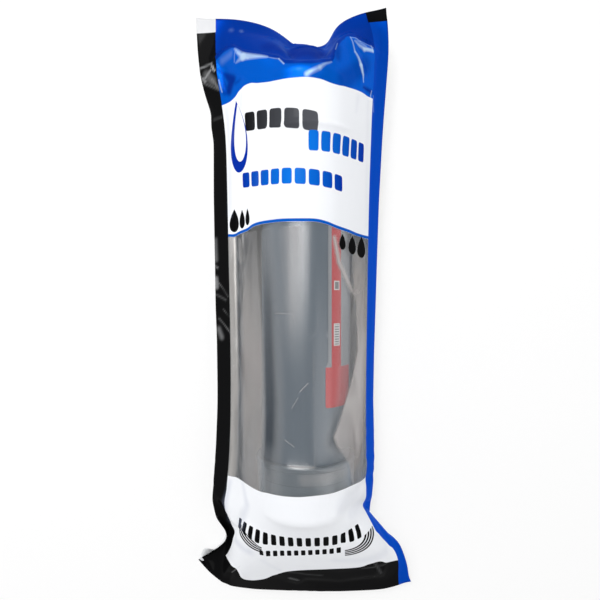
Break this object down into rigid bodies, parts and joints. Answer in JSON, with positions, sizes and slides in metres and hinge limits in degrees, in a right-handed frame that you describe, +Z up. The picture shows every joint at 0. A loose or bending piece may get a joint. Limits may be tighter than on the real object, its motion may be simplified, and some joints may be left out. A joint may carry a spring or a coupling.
{
  "type": "bagged inline water filter cartridge",
  "caption": "Grey inline carbon filter cartridge with capped ports, heat-sealed in a long printed film pouch with a clear window; lies on its back.",
  "frame": {"origin": "centre of the pouch's outline box, on the surface the pouch lies on", "axes": "+Y along the cartridge toward the inlet end and the top of the print, +X to the right of the print, +Z up out of the window"},
  "size_m": [0.1358, 0.3506, 0.0595],
  "materials": {
    "printed_film": "glossy printed film with a clear window",
    "silver_film": "glossy metallised film, silvery inside and plain outside",
    "housing_plastic": "grey extruded pipe, satin with fine scratches",
    "cap_plastic": "grey moulded plastic",
    "label_stock": "red printed sticker with a light grey margin",
    "carbon": "pressed black carbon, fine grain",
    "wrap_felt": "white non-woven wrap",
    "inner_plastic": "natural white moulded plastic",
    "ring_rubber": "black rubber",
    "plug_plastic": "soft red moulded plastic"
  },
  "bodies": {
    "root": {"pouch_front_film": "printed_film", "pouch_back_film": "silver_film", "housing_tube": "housing_plastic", "inlet_end_cap": "cap_plastic", "outlet_end_cap": "cap_plastic", "side_label": "label_stock", "carbon_block": "carbon", "block_wrap": "wrap_felt", "core_tube": "inner_plastic", "closed_end_disc": "inner_plastic", "outlet_end_disc": "inner_plastic", "outlet_o_rings": "ring_rubber", "centring_spider": "inner_plastic", "inlet_port_plug": "plug_plastic", "outlet_port_plug": "plug_plastic"}
  },
  "joints": []
}
